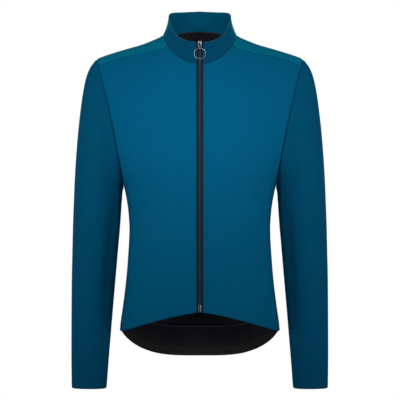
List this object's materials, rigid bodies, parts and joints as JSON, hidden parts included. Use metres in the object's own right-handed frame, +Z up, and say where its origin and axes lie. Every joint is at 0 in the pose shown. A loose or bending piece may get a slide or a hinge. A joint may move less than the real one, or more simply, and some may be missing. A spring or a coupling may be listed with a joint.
{
  "type": "cycling jacket",
  "caption": "Close-fitting long-sleeved cycling jacket in worn form, with a stand collar, a full front zip with a ring puller, and a dropped tail with an elastic gripper.",
  "frame": {"origin": "between the tops of the two shoulder lines, at mid depth, where the wearer's shoulders carry the jacket", "axes": "+Z up, -Y towards the front of the jacket, +X towards the wearer's left"},
  "size_m": [0.543, 0.2358, 0.8],
  "materials": {
    "outer_cloth": "smooth deep teal stretch knit, black brushed inside",
    "elastic": "matt black elastic",
    "zip_tape": "dark woven tape",
    "zip_teeth": "dark grey moulded teeth",
    "metal": "satin silver"
  },
  "bodies": {
    "jacket": {"front_left": "outer_cloth", "front_right": "outer_cloth", "back": "outer_cloth", "tail_panel": "outer_cloth", "sleeve_left": "outer_cloth", "sleeve_right": "outer_cloth", "collar": "outer_cloth", "tail_gripper": "elastic", "zip_tape_left": "zip_tape", "zip_tape_right": "zip_tape", "zip_teeth": "zip_teeth", "zip_slider": "metal", "zip_box": "metal"},
    "link": {"pull_link": "metal"},
    "ring": {"pull_ring": "metal"}
  },
  "joints": [
    {"name": "link_swing", "type": "hinge", "parent": "jacket", "child": "link", "pos_m": [0, -0.06513, -0.02118], "axis": [-1, 0, 0], "range_deg": [0, 150]},
    {"name": "ring_swing", "type": "hinge", "parent": "link", "child": "ring", "pos_m": [0, -0.0682, -0.03175], "axis": [-1, 0, 0], "range_deg": [0, 120]}
  ]
}
